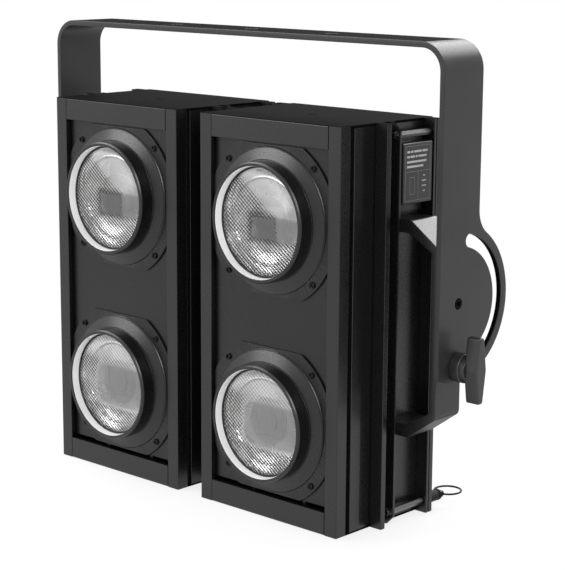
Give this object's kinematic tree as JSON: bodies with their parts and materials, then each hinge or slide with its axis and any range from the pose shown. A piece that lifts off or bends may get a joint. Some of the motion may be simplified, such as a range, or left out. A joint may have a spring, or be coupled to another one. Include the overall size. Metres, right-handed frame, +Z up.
{
  "type": "audience blinder light",
  "caption": "Black stage blinder: twin-lamp housings pinned side by side, round snoots with patterned glass, hung in one flat U yoke with curved slots and clamp knobs.",
  "frame": {"origin": "under the middle of the whole light's bounding box, on the surface that the housings stand on", "axes": "+X across the front to the side with the control panel, +Z up, the lamps shine towards -Y"},
  "size_m": [0.6064, 0.198, 0.478],
  "materials": {
    "coat": "satin black powder coat on aluminium and sheet steel",
    "yoke_coat": "satin black powder coat on flat steel bar",
    "plastic": "moulded black plastic, fine grain",
    "chrome": "polished reflector",
    "steel": "zinc-plated steel",
    "glass": "pressed glass with a fine diamond pattern",
    "ceramic": "pale emitter board with a round source",
    "aluminium": "plain extruded aluminium",
    "board": "green circuit board with its parts"
  },
  "bodies": {
    "housings": {"left_outer_side": "coat", "left_inner_side": "coat", "left_top_cover": "coat", "left_bottom_cover": "coat", "left_front_panel": "coat", "left_heatsink": "aluminium", "left_power_supply": "board", "left_rear_cover": "coat", "left_lower_bezel": "coat", "left_lower_lens": "glass", "left_lower_reflector": "chrome", "left_lower_emitter": "ceramic", "left_upper_bezel": "coat", "left_upper_lens": "glass", "left_upper_reflector": "chrome", "left_upper_emitter": "ceramic", "left_bracket": "coat", "left_pivot_bolt": "steel", "right_outer_side": "coat", "right_inner_side": "coat", "right_top_cover": "coat", "right_bottom_cover": "coat", "right_front_panel": "coat", "right_heatsink": "aluminium", "right_power_supply": "board", "right_rear_cover": "coat", "right_lower_bezel": "coat", "right_lower_lens": "glass", "right_lower_reflector": "chrome", "right_lower_emitter": "ceramic", "right_upper_bezel": "coat", "right_upper_lens": "glass", "right_upper_reflector": "chrome", "right_upper_emitter": "ceramic", "right_bracket": "coat", "right_pivot_bolt": "steel", "channel_plate": "plastic", "control_panel": "plastic", "power_inlet": "plastic", "data_in": "plastic", "data_out": "plastic"},
    "left_fan": {"left_fan_rotor": "plastic"},
    "left_knob": {"left_clamp_knob": "plastic"},
    "right_fan": {"right_fan_rotor": "plastic"},
    "right_knob": {"right_clamp_knob": "plastic"},
    "left_bottom_pin_body": {"left_bottom_pin": "steel"},
    "left_bottom_ring_body": {"left_bottom_ring": "steel"},
    "right_bottom_pin_body": {"right_bottom_pin": "steel"},
    "right_bottom_ring_body": {"right_bottom_ring": "steel"},
    "bottom_joining_fork_body": {"bottom_joining_fork": "steel"},
    "left_top_pin_body": {"left_top_pin": "steel"},
    "left_top_ring_body": {"left_top_ring": "steel"},
    "right_top_pin_body": {"right_top_pin": "steel"},
    "right_top_ring_body": {"right_top_ring": "steel"},
    "top_joining_fork_body": {"top_joining_fork": "steel"},
    "button_menu_key": {"button_menu": "plastic"},
    "button_down_key": {"button_down": "plastic"},
    "button_up_key": {"button_up": "plastic"},
    "button_enter_key": {"button_enter": "plastic"},
    "yoke": {"yoke": "yoke_coat"}
  },
  "joints": [
    {"name": "yoke_tilt", "type": "hinge", "parent": "housings", "child": "yoke", "pos_m": [0, 0.0104, 0.2297], "axis": [1, 0, 0], "range_deg": [-165, 6]},
    {"name": "left_fan_spin", "type": "hinge", "parent": "housings", "child": "left_fan", "pos_m": [-0.11, 0.038, 0.2], "axis": [0, 1, 0], "continuous": true},
    {"name": "left_knob_turn", "type": "hinge", "parent": "housings", "child": "left_knob", "pos_m": [-0.282, 0.0104, 0.1682], "axis": [-1, 0, 0], "range_deg": [0, 540]},
    {"name": "right_fan_spin", "type": "hinge", "parent": "housings", "child": "right_fan", "pos_m": [0.11, 0.038, 0.2], "axis": [0, 1, 0], "continuous": true},
    {"name": "right_knob_turn", "type": "hinge", "parent": "housings", "child": "right_knob", "pos_m": [0.282, 0.0104, 0.1682], "axis": [1, 0, 0], "range_deg": [0, 540]},
    {"name": "left_bottom_pin_slide", "type": "slide", "parent": "housings", "child": "left_bottom_pin_body", "axis": [0, 1, 0], "range_m": [0, 0.058]},
    {"name": "left_bottom_ring_swing", "type": "hinge", "parent": "left_bottom_pin_body", "child": "left_bottom_ring_body", "pos_m": [-0.2109, 0.0704, 0.0126], "axis": [1, 0, 0], "range_deg": [-10, 90]},
    {"name": "right_bottom_pin_slide", "type": "slide", "parent": "housings", "child": "right_bottom_pin_body", "axis": [0, 1, 0], "range_m": [0, 0.058]},
    {"name": "right_bottom_ring_swing", "type": "hinge", "parent": "right_bottom_pin_body", "child": "right_bottom_ring_body", "pos_m": [0.2109, 0.0704, 0.0126], "axis": [1, 0, 0], "range_deg": [-10, 90]},
    {"name": "bottom_joining_fork_slide", "type": "slide", "parent": "housings", "child": "bottom_joining_fork_body", "axis": [0, 1, 0], "range_m": [0, 0.058]},
    {"name": "left_top_pin_slide", "type": "slide", "parent": "housings", "child": "left_top_pin_body", "axis": [0, 1, 0], "range_m": [0, 0.058]},
    {"name": "left_top_ring_swing", "type": "hinge", "parent": "left_top_pin_body", "child": "left_top_ring_body", "pos_m": [-0.2109, 0.0704, 0.3874], "axis": [1, 0, 0], "range_deg": [-90, 90]},
    {"name": "right_top_pin_slide", "type": "slide", "parent": "housings", "child": "right_top_pin_body", "axis": [0, 1, 0], "range_m": [0, 0.058]},
    {"name": "right_top_ring_swing", "type": "hinge", "parent": "right_top_pin_body", "child": "right_top_ring_body", "pos_m": [0.2109, 0.0704, 0.3874], "axis": [1, 0, 0], "range_deg": [-90, 90]},
    {"name": "top_joining_fork_slide", "type": "slide", "parent": "housings", "child": "top_joining_fork_body", "axis": [0, 1, 0], "range_m": [0, 0.058]},
    {"name": "button_menu_press", "type": "slide", "parent": "housings", "child": "button_menu_key", "axis": [0, -1, 0], "range_m": [0, 0.0008], "stiffness_N_per_m": 400},
    {"name": "button_down_press", "type": "slide", "parent": "housings", "child": "button_down_key", "axis": [0, -1, 0], "range_m": [0, 0.0008], "stiffness_N_per_m": 400},
    {"name": "button_up_press", "type": "slide", "parent": "housings", "child": "button_up_key", "axis": [0, -1, 0], "range_m": [0, 0.0008], "stiffness_N_per_m": 400},
    {"name": "button_enter_press", "type": "slide", "parent": "housings", "child": "button_enter_key", "axis": [0, -1, 0], "range_m": [0, 0.0008], "stiffness_N_per_m": 400}
  ]
}
